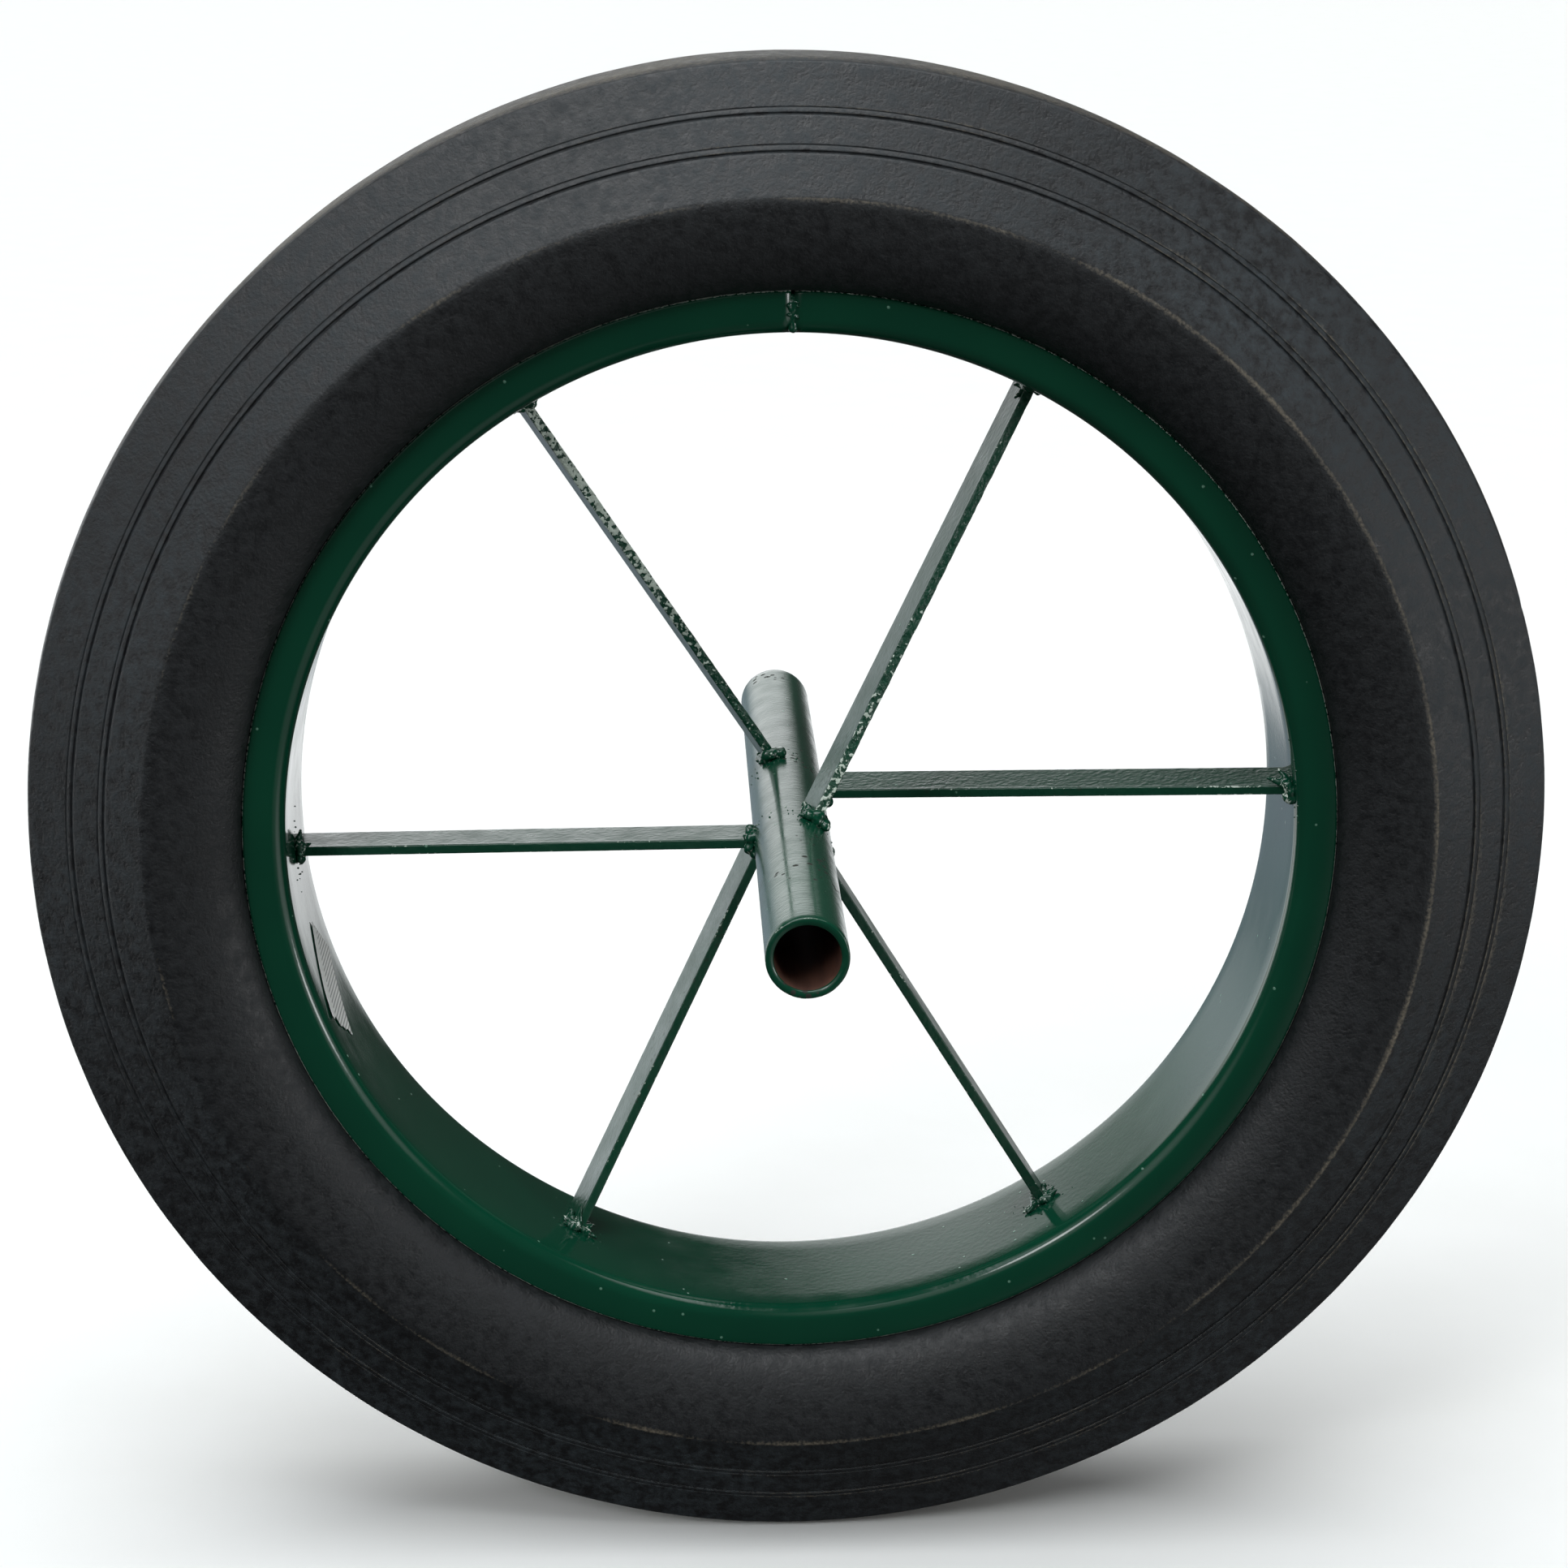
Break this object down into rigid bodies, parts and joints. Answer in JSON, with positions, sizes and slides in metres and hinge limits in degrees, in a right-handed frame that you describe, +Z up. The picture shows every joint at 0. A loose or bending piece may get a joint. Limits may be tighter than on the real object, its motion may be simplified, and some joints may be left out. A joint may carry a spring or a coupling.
{
  "type": "wheelbarrow wheel",
  "caption": "Wheelbarrow wheel with a solid rubber tyre on a rolled steel channel rim, flat bar spokes welded to a long tube hub.",
  "frame": {"origin": "centre of the wheel, on the axle's line, midway between the two rim flanges", "axes": "+Y along the axle, from the front of the wheel to the back; +Z up, through the rim's butt weld; +X to the right seen from the front"},
  "size_m": [0.4, 0.25, 0.4],
  "materials": {
    "tyre_rubber": "matt moulded black rubber",
    "green_paint": "glossy dark green dipped paint over mild steel",
    "label_paper": "matt white paper"
  },
  "bodies": {
    "root": {"tyre": "tyre_rubber", "rim": "green_paint", "rim_butt_weld": "green_paint", "hub_tube": "green_paint", "spoke_1": "green_paint", "spoke_2": "green_paint", "spoke_3": "green_paint", "spoke_4": "green_paint", "spoke_5": "green_paint", "spoke_6": "green_paint", "rim_weld_1": "green_paint", "rim_weld_2": "green_paint", "rim_weld_3": "green_paint", "rim_weld_4": "green_paint", "rim_weld_5": "green_paint", "rim_weld_6": "green_paint", "hub_weld_1": "green_paint", "hub_weld_2": "green_paint", "hub_weld_3": "green_paint", "hub_weld_4": "green_paint", "hub_weld_5": "green_paint", "hub_weld_6": "green_paint", "paper_label": "label_paper"}
  },
  "joints": []
}
